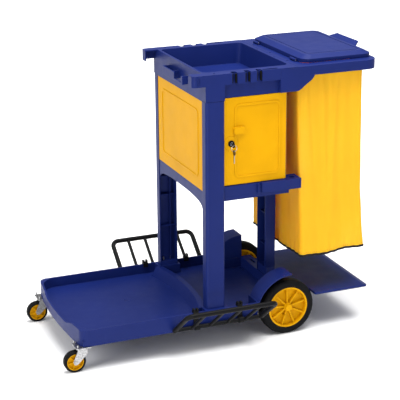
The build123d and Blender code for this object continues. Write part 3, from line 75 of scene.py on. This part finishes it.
# ------------------------------------------------ node-material helper
class Shade:
    """A procedural material under construction: one Principled shader fed by a few texture nodes."""

    def __init__(self, name, rough, metal=0.0):
        self.material = bpy.data.materials.new(name)
        self.material.use_nodes = True
        self.tree = self.material.node_tree
        self.tree.nodes.clear()
        self.out = self.add("ShaderNodeOutputMaterial")
        self.shader = self.add("ShaderNodeBsdfPrincipled")
        self.link(self.shader, "BSDF", self.out, "Surface")
        self.shader.inputs["Roughness"].default_value = rough
        self.shader.inputs["Metallic"].default_value = metal
        self.place = self.add("ShaderNodeTexCoord")
        self.normal = None

    def add(self, kind):
        return self.tree.nodes.new(kind)

    def link(self, a, a_out, b, b_in):
        self.tree.links.new(a.outputs[a_out], b.inputs[b_in])

    def set(self, name, value):
        self.shader.inputs[name].default_value = value

    def mapping(self, scale):
        node = self.add("ShaderNodeMapping")
        node.inputs["Scale"].default_value = scale
        self.link(self.place, "Object", node, "Vector")
        return node

    def noise(self, scale, detail=4.0, rough=0.5, stretch=(1, 1, 1)):
        node = self.add("ShaderNodeTexNoise")
        node.inputs["Scale"].default_value = scale
        node.inputs["Detail"].default_value = detail
        node.inputs["Roughness"].default_value = rough
        self.link(self.mapping(stretch), "Vector", node, "Vector")
        return node

    def ramp(self, source, output, stops):
        node = self.add("ShaderNodeValToRGB")
        while len(node.color_ramp.elements) < len(stops):
            node.color_ramp.elements.new(0.5)
        for element, (at, colour) in zip(node.color_ramp.elements, stops):
            element.position = at
            element.color = (*colour, 1.0) if len(colour) == 3 else colour
        self.link(source, output, node, "Fac")
        return node

    def spread(self, source, output, low, high):
        node = self.add("ShaderNodeMapRange")
        node.inputs["To Min"].default_value = low
        node.inputs["To Max"].default_value = high
        self.link(source, output, node, "Value")
        return node

    def bump(self, source, output, strength, depth):
        node = self.add("ShaderNodeBump")
        node.inputs["Strength"].default_value = strength
        node.inputs["Distance"].default_value = depth
        self.link(source, output, node, "Height")
        if self.normal is not None:
            self.link(self.normal, "Normal", node, "Normal")
        self.link(node, "Normal", self.shader, "Normal")
        self.normal = node

    def maths(self, operation, *inputs, kind="ShaderNodeMath"):
        """Math node: an input is a number or vector, or a (node, output) pair to link."""
        node = self.add(kind)
        node.operation = operation
        for slot, value in enumerate(inputs):
            if isinstance(value, tuple) and hasattr(value[0], "outputs"):
                self.link(*value, node, slot)
            else:
                node.inputs[slot].default_value = value
        return node

    def distance_from(self, centre, keep=None):
        """Distance of a point from a centre, along the axes to keep if not all of them."""
        kind = "ShaderNodeVectorMath"
        offset = self.maths("SUBTRACT", (self.place, "Object"), centre, kind=kind)
        if keep:
            offset = self.maths("MULTIPLY", (offset, "Vector"), keep, kind=kind)
        return self.maths("LENGTH", (offset, "Vector"), kind=kind)

    def soft_edges(self, radius):
        node = self.add("ShaderNodeBevel")
        node.samples = 4
        node.inputs["Radius"].default_value = radius
        self.link(node, "Normal", self.shader, "Normal")
        self.normal = node


def scaled(colour, factor):
    return tuple(min(1.0, c * factor) for c in colour)


def moulded_plastic(name, colour, rough, gloss, edge=0.0016, gate=None):
    """Satin moulded plastic: fine grain, slow mottling, faint scuffs, rounded edges, any gate mark."""
    m = Shade(name, rough)
    m.set("Specular IOR Level", gloss)
    m.soft_edges(edge)
    cloud = m.noise(7.0, 5.0, 0.55)
    tint = m.ramp(cloud, "Fac",
                  ((0.25, scaled(colour, 0.90)), (0.55, colour), (0.85, scaled(colour, 1.12))))
    scuffs = m.noise(38.0, 8.0, 0.72, (1.0, 1.0, 0.35))
    mask = m.ramp(scuffs, "Fac", ((0.60, (0, 0, 0)), (0.78, (0.35, 0.35, 0.35))))
    mix = m.add("ShaderNodeMix")
    mix.data_type = "RGBA"
    mix.inputs["B"].default_value = (*[min(1.0, c * 1.25 + 0.01) for c in colour], 1.0)
    m.link(mask, "Color", mix, "Factor")
    m.link(tint, "Color", mix, "A")
    m.link(mix, "Result", m.shader, "Base Color")
    shine = m.spread(m.noise(24.0, 6.0, 0.6), "Fac", rough - 0.09, rough + 0.10)
    m.link(shine, "Result", m.shader, "Roughness")
    m.bump(m.noise(1500.0, 2.0, 0.6), "Fac", 0.10, 0.0004)
    m.bump(m.noise(46.0, 3.0, 0.5), "Fac", 0.05, 0.0012)
    if gate:
        # small dished ring where the mould was filled
        centre, radius = gate
        dish = m.add("ShaderNodeMapRange")
        dish.interpolation_type = "SMOOTHSTEP"
        dish.inputs["From Min"].default_value = radius * 0.6
        dish.inputs["From Max"].default_value = radius
        m.link(m.distance_from(centre), "Value", dish, "Value")
        m.bump(dish, "Result", 0.9, 0.0016)
    return m.material


def rubber(name, colour, rings=None):
    """Matt rubber with a dusty bloom; tyres also get fine moulded rings round their axle."""
    m = Shade(name, 0.62)
    m.set("Specular IOR Level", 0.06)
    m.soft_edges(0.0012)
    dust = m.noise(30.0, 8.0, 0.65)
    tint = m.ramp(dust, "Fac", ((0.35, colour), (0.75, scaled(colour, 2.4))))
    m.link(tint, "Color", m.shader, "Base Color")
    shine = m.spread(m.noise(60.0, 5.0), "Fac", 0.50, 0.75)
    m.link(shine, "Result", m.shader, "Roughness")
    if rings:
        (x, z), pitch = rings
        reach = m.distance_from((x, 0.0, z), keep=(1.0, 0.0, 1.0))
        turn = m.maths("MULTIPLY", (reach, "Value"), 2 * math.pi / pitch)
        m.bump(m.maths("SINE", (turn, "Value")), "Value", 0.35, 0.0005)
    m.bump(m.noise(900.0, 3.0), "Fac", 0.15, 0.0004)
    return m.material


def metal(name, colour, rough, streaks):
    """Plated steel: spangled tint, drawn streaks and small pits."""
    m = Shade(name, rough, 1.0)
    m.soft_edges(0.0005)
    cell = m.add("ShaderNodeTexVoronoi")
    cell.inputs["Scale"].default_value = 240.0
    m.link(m.place, "Object", cell, "Vector")
    tint = m.ramp(cell, "Distance", ((0.1, scaled(colour, 0.55)), (0.7, scaled(colour, 1.25))))
    m.link(tint, "Color", m.shader, "Base Color")
    shine = m.spread(m.noise(80.0, 6.0, 0.6, streaks), "Fac", rough * 0.7, rough * 1.4)
    m.link(shine, "Result", m.shader, "Roughness")
    m.bump(m.noise(420.0, 4.0, 0.6, streaks), "Fac", 0.12, 0.0003)
    return m.material


WEAVE_STRETCH = {"X": (0.75, 0.66, 1.0), "Z": (1.0, 1.0, 1.0)}
THROUGH_SHARE = 0.42       # share of the light that comes through thin cloth


def cloth(name, colour, rough, pitch, depth, fade, through=None):
    """Plain weave: crossed threads, slubs, faded ridges, soft sheen and, if thin, light from behind."""
    m = Shade(name, rough)
    m.set("Specular IOR Level", 0.15)
    m.set("Sheen Weight", 0.02)
    m.set("Sheen Roughness", 0.45)
    warp = []
    for axis in ("X", "Z"):
        wave = m.add("ShaderNodeTexWave")
        wave.bands_direction = axis
        wave.inputs["Scale"].default_value = 1.0 / pitch / 3.2
        wave.inputs["Distortion"].default_value = 0.6
        wave.inputs["Detail"].default_value = 1.0
        m.link(m.mapping(WEAVE_STRETCH[axis]), "Vector", wave, "Vector")
        warp.append((wave, "Fac"))
    weave = m.maths("MULTIPLY", *warp)
    cloud = m.noise(6.0, 6.0, 0.6, (1.0, 1.0, 0.4))
    tint = m.ramp(cloud, "Fac", ((0.28, scaled(colour, 0.90)), (0.52, colour), (0.80, fade)))
    m.link(tint, "Color", m.shader, "Base Color")
    shine = m.spread(m.noise(40.0, 5.0), "Fac", rough - 0.1, rough + 0.1)
    m.link(shine, "Result", m.shader, "Roughness")
    m.bump(weave, "Value", 0.35, depth)
    m.bump(m.noise(18.0, 6.0, 0.6, (1.0, 1.0, 0.25)), "Fac", 0.22, 0.004)
    if through:
        behind = m.add("ShaderNodeBsdfTranslucent")
        behind.inputs["Color"].default_value = (*through, 1.0)
        blend = m.add("ShaderNodeMixShader")
        blend.inputs["Fac"].default_value = THROUGH_SHARE
        m.link(m.shader, "BSDF", blend, 1)
        m.link(behind, "BSDF", blend, 2)
        m.link(blend, "Shader", m.out, "Surface")
    return m.material


def two_tone_key(name, split_z):
    """Key with a black moulded head above a height and a bright blade below it."""
    m = Shade(name, 0.3)
    m.soft_edges(0.0004)
    apart = m.add("ShaderNodeSeparateXYZ")
    m.link(m.place, "Object", apart, "Vector")
    head = m.maths("GREATER_THAN", (apart, "Z"), split_z)
    tint = m.ramp(head, "Value", ((0.0, BRIGHT), (1.0, BLACK)))
    m.link(tint, "Color", m.shader, "Base Color")
    m.link(m.maths("SUBTRACT", 1.0, (head, "Value")), "Value", m.shader, "Metallic")
    shine = m.spread(m.noise(120.0, 5.0), "Fac", 0.2, 0.42)
    m.link(shine, "Result", m.shader, "Roughness")
    m.bump(m.noise(700.0, 3.0), "Fac", 0.1, 0.0002)
    return m.material


looks = {
    "navy": moulded_plastic("navy_plastic", NAVY, 0.42, 0.11),
    "yellow": moulded_plastic("yellow_plastic", YELLOW, 0.48, 0.05),
    "black": moulded_plastic("black_plastic", scaled(BLACK, 0.6), 0.42, 0.08),
    "grip": rubber("black_rubber", RUBBER),
    "rear_tyre": rubber("rear_tyre_rubber", RUBBER, (AXLE, REAR_RING_PITCH)),
    "caster_tyre": rubber("caster_tyre_rubber", RUBBER, (CASTER_AXLE, CASTER_RING_PITCH)),
    "zinc": metal("zinc_plate", ZINC, 0.34, (1.0, 1.0, 4.0)),
    "bright": metal("bright_plate", BRIGHT, 0.16, (1.0, 6.0, 1.0)),
    "bag": cloth("bag_cloth", BAG_YELLOW, 0.62, 0.0011, 0.0005, (0.96, 0.66, 0.05), BAG_THROUGH),
    "tray": moulded_plastic("navy_tray", NAVY, 0.42, 0.11, gate=GATE_MARK),
    "key": two_tone_key("key_two_tone", KEY_HEAD_Z),
    "tape": cloth("binding_tape", BLACK, 0.75, 0.0009, 0.0004, scaled(BLACK, 2.2)),
}
LOOK_OF_SLOT = {
    "navy_plastic": "navy",
    "yellow_plastic": "yellow",
    "black_plastic": "black",
    "black_rubber": "grip",
    "black_tyre": "rear_tyre",
    "yellow_cloth": "bag",
    "black_cloth": "tape",
    "zinc_steel": "zinc",
    "bright_metal": "bright",
    "steel": "zinc",
}


def paint(obj, look):
    obj.data.materials.clear()
    obj.data.materials.append(looks[look])


def mesh_object(name, mesh_name, bm, smooth=True):
    """Object in the scene from a finished bmesh, which is freed."""
    mesh = bpy.data.meshes.new(mesh_name)
    bm.to_mesh(mesh)
    bm.free()
    if smooth:
        mesh.shade_smooth()
    obj = bpy.data.objects.new(name, mesh)
    bpy.context.scene.collection.objects.link(obj)
    return obj


LOOK_OF_NODE = {
    "caster_tyre_left": "caster_tyre",
    "caster_tyre_right": "caster_tyre",
    "base_tray": "tray",
    "spare_key": "key",
}
for entry in frame["record"]["subparts"]:
    node = entry["node"]
    paint(nodes[node], LOOK_OF_NODE.get(node, LOOK_OF_SLOT[entry["material_slot"]]))


# ------------------------------------------------ bag
def clamped(value):
    return max(0.0, min(1.0, value))


def bag_level(z):
    """Front X, rear X and half width of the bag at a height, eased between the stations."""
    for (za, *a), (zb, *b) in zip(BAG_STATIONS, BAG_STATIONS[1:]):
        if z >= zb:
            break
    share = clamped((za - z) / (za - zb))
    return [p + (q - p) * share for p, q in zip(a, b)]


def rounded_loop(x0, x1, half, radius, along, corner):
    """Points and outward directions round a rounded rectangle: sides cut evenly, corners in arcs."""
    loop = []
    centres = ((x1 - radius, half - radius), (x0 + radius, half - radius), (x0 + radius, radius - half),
               (x1 - radius, radius - half))
    for quarter, (cx, cy) in enumerate(centres):
        start = quarter * math.pi / 2
        for i in range(corner):
            a = start + (i / corner) * math.pi / 2
            loop.append((Vector((cx + radius * math.cos(a), cy + radius * math.sin(a))),
                         Vector((math.cos(a), math.sin(a)))))
        a = start + math.pi / 2
        out = Vector((math.cos(a), math.sin(a)))
        begin = Vector((cx, cy)) + radius * out
        nx, ny = centres[(quarter + 1) % 4]
        end = Vector((nx, ny)) + radius * out
        for i in range(along[quarter % 2]):
            loop.append((begin.lerp(end, i / along[quarter % 2]), out))
    return loop


def join_rings(bm, upper, lower):
    """Faces between two closed rings with the same number of points."""
    for i in range(len(upper)):
        j = (i + 1) % len(upper)
        bm.faces.new((upper[i], upper[j], lower[j], lower[i]))


BAG_ALONG = (54, 84)       # points along a short side and along a long side
BAG_CORNER_STEPS = 5
BAG_ROWS = 150
BOTTOM_RINGS = 9
HEM_BELOW = 0.0008         # hem under the top of the CAD bag
EDGE_ABOVE = 0.002         # bottom edge over the foot of the CAD bag
EDGE_WAVE = 0.0025         # height of the bottom edge's waves
EDGE_RISE = 0.012          # how much higher that edge is at the rear
BOTTOM_SAG = 0.004         # sag of the bottom panel's middle
WALL_SAG = 0.0045          # how far a wall's middle pulls in between the hem and the bottom panel
RIPPLE = 0.0030            # depth of the broad ripples
FINE_RIPPLE = 0.0010
PUCKER = 0.0016            # depth of the small puckers over the bottom binding
PUCKER_TALL = 0.05         # how high they reach
MOST_OUT = 0.0045          # most that the cloth may stand out of its outline
SLACK_IN = 0.0010          # how far all of the cloth hangs inside its outline
CREASE_WANDER = 0.012      # how far a crease strays sideways on its way down
HEM_GRIP = 12.0            # the cloth hangs free from a 12th of the way down
SIDE_LEAN = 0.4            # outward directions with less X than this belong to the long sides
# vertical creases: side, place along it from 0 to 1, depth, width, and where it starts and ends,
# as shares of the way down from the hem
CREASES = (
    ("side", 0.66, -0.0040, 0.018, 0.00, 1.00),
    ("side", 0.30, -0.0026, 0.024, 0.05, 0.75),
    ("side", 0.17, 0.0020, 0.014, 0.00, 0.60),
    ("side", 0.50, 0.0018, 0.030, 0.20, 1.00),
    ("side", 0.86, -0.0028, 0.016, 0.00, 0.55),
    ("front", 0.24, -0.0030, 0.030, 0.05, 1.00),
    ("front", 0.52, 0.0020, 0.040, 0.00, 0.80),
    ("front", 0.78, -0.0032, 0.028, 0.00, 0.95),
    ("side", 0.08, -0.0026, 0.009, 0.00, 0.80),
    ("side", 0.22, -0.0024, 0.008, 0.00, 0.70),
    ("side", 0.36, 0.0026, 0.008, 0.00, 0.85),
    ("side", 0.43, -0.0028, 0.009, 0.02, 0.75),
    ("side", 0.56, 0.0024, 0.008, 0.00, 0.65),
    ("side", 0.75, 0.0020, 0.009, 0.05, 0.60),
    ("rear", 0.35, -0.0034, 0.034, 0.00, 0.85),
    ("rear", 0.64, -0.0028, 0.026, 0.15, 1.00),
)


def crease_push(where, place, length, drop):
    """Sum of the creases at a place along one side, for a point that far down the bag."""
    push = 0.0
    for side, at, depth, width, start, end in CREASES:
        if side != where:
            continue
        wander = CREASE_WANDER * math.sin(3.1 * drop + 9.0 * at)
        away = (place - at) * length + wander
        fade = clamped((drop - start) * 9.0) * clamped((end - drop) * 4.0)
        push += depth * fade * math.exp(-(away / width) ** 2)
    return push


def bag_point(point, out, z, x0, x1, half, drop):
    """Place of the cloth for one point of the bag's outline: sag, creases, ripples and puckers."""
    if abs(out.x) < SIDE_LEAN:
        where, place, length = "side", (point.x - x0) / (x1 - x0), x1 - x0
    elif out.x > 0:
        where, place, length = "rear", (point.y + half) / (2 * half), 2 * half
    else:
        where, place, length = "front", (point.y + half) / (2 * half), 2 * half
    middle = max(0.0, math.sin(math.pi * clamped(place)))
    hang = clamped(drop * HEM_GRIP)
    push = crease_push(where, place, length, drop) * hang
    # walls pull in a little between the hem and the bottom panel
    push -= WALL_SAG * middle * math.sin(math.pi * min(1.0, drop * 1.02)) * hang
    ripple = noise.noise(Vector((point.x * 16, point.y * 16, z * 2.6)))
    push += RIPPLE * ripple * hang * (0.35 + middle)
    fine = noise.noise(Vector((point.x * 55 + 7, point.y * 55, z * 9.0)))
    push += FINE_RIPPLE * fine * hang
    # small puckers above the bottom binding
    low = max(0.0, 1.0 - (z - BAG_STATIONS[-1][0]) / PUCKER_TALL)
    push += PUCKER * low * math.sin(point.x * 210 + point.y * 190)
    push = min(push, MOST_OUT) - SLACK_IN * hang
    if where == "front":    # nothing stands out towards the cabinet
        push = min(push, 0.0)
    return point + out * push


bm = bmesh.new()
rings = []
top_z = BAG_STATIONS[0][0] - HEM_BELOW
low_z = BAG_STATIONS[-1][0]
for row in range(BAG_ROWS + 1):
    drop = row / BAG_ROWS
    z = top_z + (low_z + EDGE_ABOVE - top_z) * drop
    x0, x1, half = bag_level(z)
    ring = []
    for point, out in rounded_loop(x0, x1, half, BAG_CORNER, BAG_ALONG, BAG_CORNER_STEPS):
        moved = bag_point(point, out, z, x0, x1, half, drop)
        # the bottom edge waves slightly and rises a little towards the rear
        wave = EDGE_WAVE * math.sin(point.x * 40 + point.y * 23)
        lift = drop ** 6 * (wave + EDGE_RISE * (point.x - x0) / (x1 - x0))
        ring.append(bm.verts.new((moved.x, moved.y, z + lift)))
    rings.append(ring)
for upper, lower in zip(rings, rings[1:]):
    join_rings(bm, upper, lower)
# bottom panel: smaller and smaller loops that sag to the middle
previous = rings[-1]
centre = sum((v.co for v in previous), Vector()) / len(previous)
for step in range(1, BOTTOM_RINGS + 1):
    share = 1 - step / (BOTTOM_RINGS + 1)
    ring = []
    for v in rings[-1]:
        place = centre.lerp(v.co, share)
        place.z -= BOTTOM_SAG * math.sin(math.pi * (1 - share) / 2)
        ring.append(bm.verts.new(place))
    join_rings(bm, previous, ring)
    previous = ring
bm.faces.new(list(reversed(previous)))
edge_loop = [v.co.copy() for v in rings[-1]]
stitch_row = [v.co.copy() for v in rings[-3]]
bmesh.ops.recalc_face_normals(bm, faces=bm.faces)
bag = mesh_object("cloth_bag", "bag_shell", bm)
shell = bag.modifiers.new("cloth", "SOLIDIFY")
shell.thickness = BAG_CLOTH
shell.offset = -1.0
paint(bag, "bag")


def tube_along(name, points, radius_out, radius_up, sides):
    """Closed tube of oval section round a loop of points."""
    bm = bmesh.new()
    count = len(points)
    loops = []
    for i, p in enumerate(points):
        ahead = (points[(i + 1) % count] - points[i - 1]).normalized()
        up = Vector((0, 0, 1))
        side = ahead.cross(up).normalized()
        up = side.cross(ahead).normalized()
        loops.append([bm.verts.new(p + side * radius_out * math.cos(a) + up * radius_up * math.sin(a))
                      for a in (2 * math.pi * k / sides for k in range(sides))])
    for i in range(count):
        a, b = loops[i], loops[(i + 1) % count]
        for k in range(sides):
            m = (k + 1) % sides
            bm.faces.new((a[k], b[k], b[m], a[m]))
    bmesh.ops.recalc_face_normals(bm, faces=bm.faces)
    return mesh_object(name, name, bm)


PIPING_OUT = 0.0022        # half width of the piping
PIPING_UP = 0.0042         # half height
PIPING_BELOW = 0.0012      # its middle under the cloth's edge
PIPING_SIDES = 10
piping_line = [p - Vector((0, 0, PIPING_BELOW)) for p in edge_loop]
binding = tube_along("bag_piping", piping_line, PIPING_OUT, PIPING_UP, PIPING_SIDES)
paint(binding, "tape")

# row of lockstitches just above the piping
STITCH_EVERY = 2           # one stitch for this many points of the row
STITCH_HALF = 0.46         # half a stitch, as a share of the way between two points of the row
STITCH_R = 0.00045         # radius of the thread
STITCH_PROUD = 0.0001      # how far its middle stands out of the cloth
SHORTEST_RUN = 1e-5
bm = bmesh.new()
for i in range(0, len(stitch_row), STITCH_EVERY):
    a = stitch_row[i]
    b = stitch_row[(i + 1) % len(stitch_row)]
    run = b - a
    if run.length < SHORTEST_RUN:
        continue
    out = Vector((run.y, -run.x, 0)).normalized()
    made = bmesh.ops.create_uvsphere(bm, u_segments=6, v_segments=4, radius=1.0)["verts"]
    basis = Matrix((run.normalized(), out, Vector((0, 0, 1)))).transposed().to_4x4()
    size = Matrix.Diagonal((run.length * STITCH_HALF, STITCH_R, STITCH_R, 1))
    middle = Matrix.Translation((a + b) / 2 + out * STITCH_PROUD)
    bmesh.ops.transform(bm, matrix=middle @ basis @ size, verts=made)
stitching = mesh_object("bag_stitching", "bag_stitches", bm)
paint(stitching, "tape")

for piece, slot in ((bag, "yellow_cloth"), (binding, "black_cloth"), (stitching, "black_cloth")):
    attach(piece, "cart")
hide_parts("bag")
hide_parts("bag_binding")

# ------------------------------------------------ studio
FLOOR_HALF = 30.0
FLOOR_TONES = ((0.3, (0.92, 0.92, 0.92)), (0.7, (0.94, 0.94, 0.94)))
WORLD_STRENGTH = 0.45
# name, place, what it points at, size, watts
SOFTBOXES = (
    ("key", (-4.2, -1.5, 2.7), (0.0, 0.0, 0.5), (2.4, 2.4), 110.0),
    ("top", (0.2, -0.4, 3.8), (0.0, 0.0, 0.4), (3.0, 3.0), 270.0),
    ("fill", (3.2, -3.4, 1.6), (0.1, 0.0, 0.5), (2.0, 2.0), 24.0),
    ("low", (-1.6, -3.6, 0.16), (0.0, 0.0, 0.0), (3.4, 0.3), 46.0),
    ("backdrop", (0.0, 2.6, 4.6), (0.0, 12.0, 0.0), (12.0, 3.0), 900.0),
)

bm = bmesh.new()
bmesh.ops.create_grid(bm, x_segments=1, y_segments=1, size=FLOOR_HALF)
floor = mesh_object("floor", "floor", bm, smooth=False)
ground = Shade("floor", 0.75)
pale = ground.noise(0.6, 2.0)
ground.link(ground.ramp(pale, "Fac", FLOOR_TONES), "Color", ground.shader, "Base Color")
floor.data.materials.append(ground.material)

world = bpy.data.worlds.new("studio")
world.use_nodes = True
background = world.node_tree.nodes["Background"]
background.inputs["Color"].default_value = (1.0, 1.0, 1.0, 1.0)
background.inputs["Strength"].default_value = WORLD_STRENGTH
bpy.context.scene.world = world


def softbox(name, place, target, size, watts):
    light = bpy.data.lights.new(name, "AREA")
    light.shape = "RECTANGLE"
    light.size, light.size_y = size
    light.energy = watts
    obj = bpy.data.objects.new(name, light)
    obj.location = place
    obj.rotation_mode = "QUATERNION"
    obj.rotation_quaternion = (Vector(target) - Vector(place)).to_track_quat("-Z", "Y")
    bpy.context.scene.collection.objects.link(obj)


for box in SOFTBOXES:
    softbox(*box)

# ------------------------------------------------ camera
CAMERA_AZIMUTH = math.radians(-21.98)
CAMERA_ELEVATION = math.radians(18.27)
CAMERA_ROLL = math.radians(-0.413)
CAMERA_DISTANCE = 4.7563
CAMERA_AIM = Vector((0.0073, 0.0, 0.4598))
CAMERA_LENS = 121.56        # focal length and sensor width, in millimetres
CAMERA_SENSOR = 36.0

back = Vector((math.sin(CAMERA_AZIMUTH) * math.cos(CAMERA_ELEVATION),
               -math.cos(CAMERA_AZIMUTH) * math.cos(CAMERA_ELEVATION), math.sin(CAMERA_ELEVATION)))
right = Vector((math.cos(CAMERA_AZIMUTH), math.sin(CAMERA_AZIMUTH), 0.0))
up = back.cross(right)
rolled_right = right * math.cos(CAMERA_ROLL) + up * math.sin(CAMERA_ROLL)
rolled_up = up * math.cos(CAMERA_ROLL) - right * math.sin(CAMERA_ROLL)
lens = bpy.data.cameras.new("camera")
lens.lens = CAMERA_LENS
lens.sensor_width = CAMERA_SENSOR
camera = bpy.data.objects.new("camera", lens)
bpy.context.scene.collection.objects.link(camera)
placed = Matrix((rolled_right, rolled_up, back)).transposed().to_4x4()
placed.translation = CAMERA_AIM + back * CAMERA_DISTANCE
camera.matrix_world = placed
bpy.context.scene.camera = camera
bpy.context.scene.view_settings.view_transform = "Standard"

bpy.context.view_layer.update()
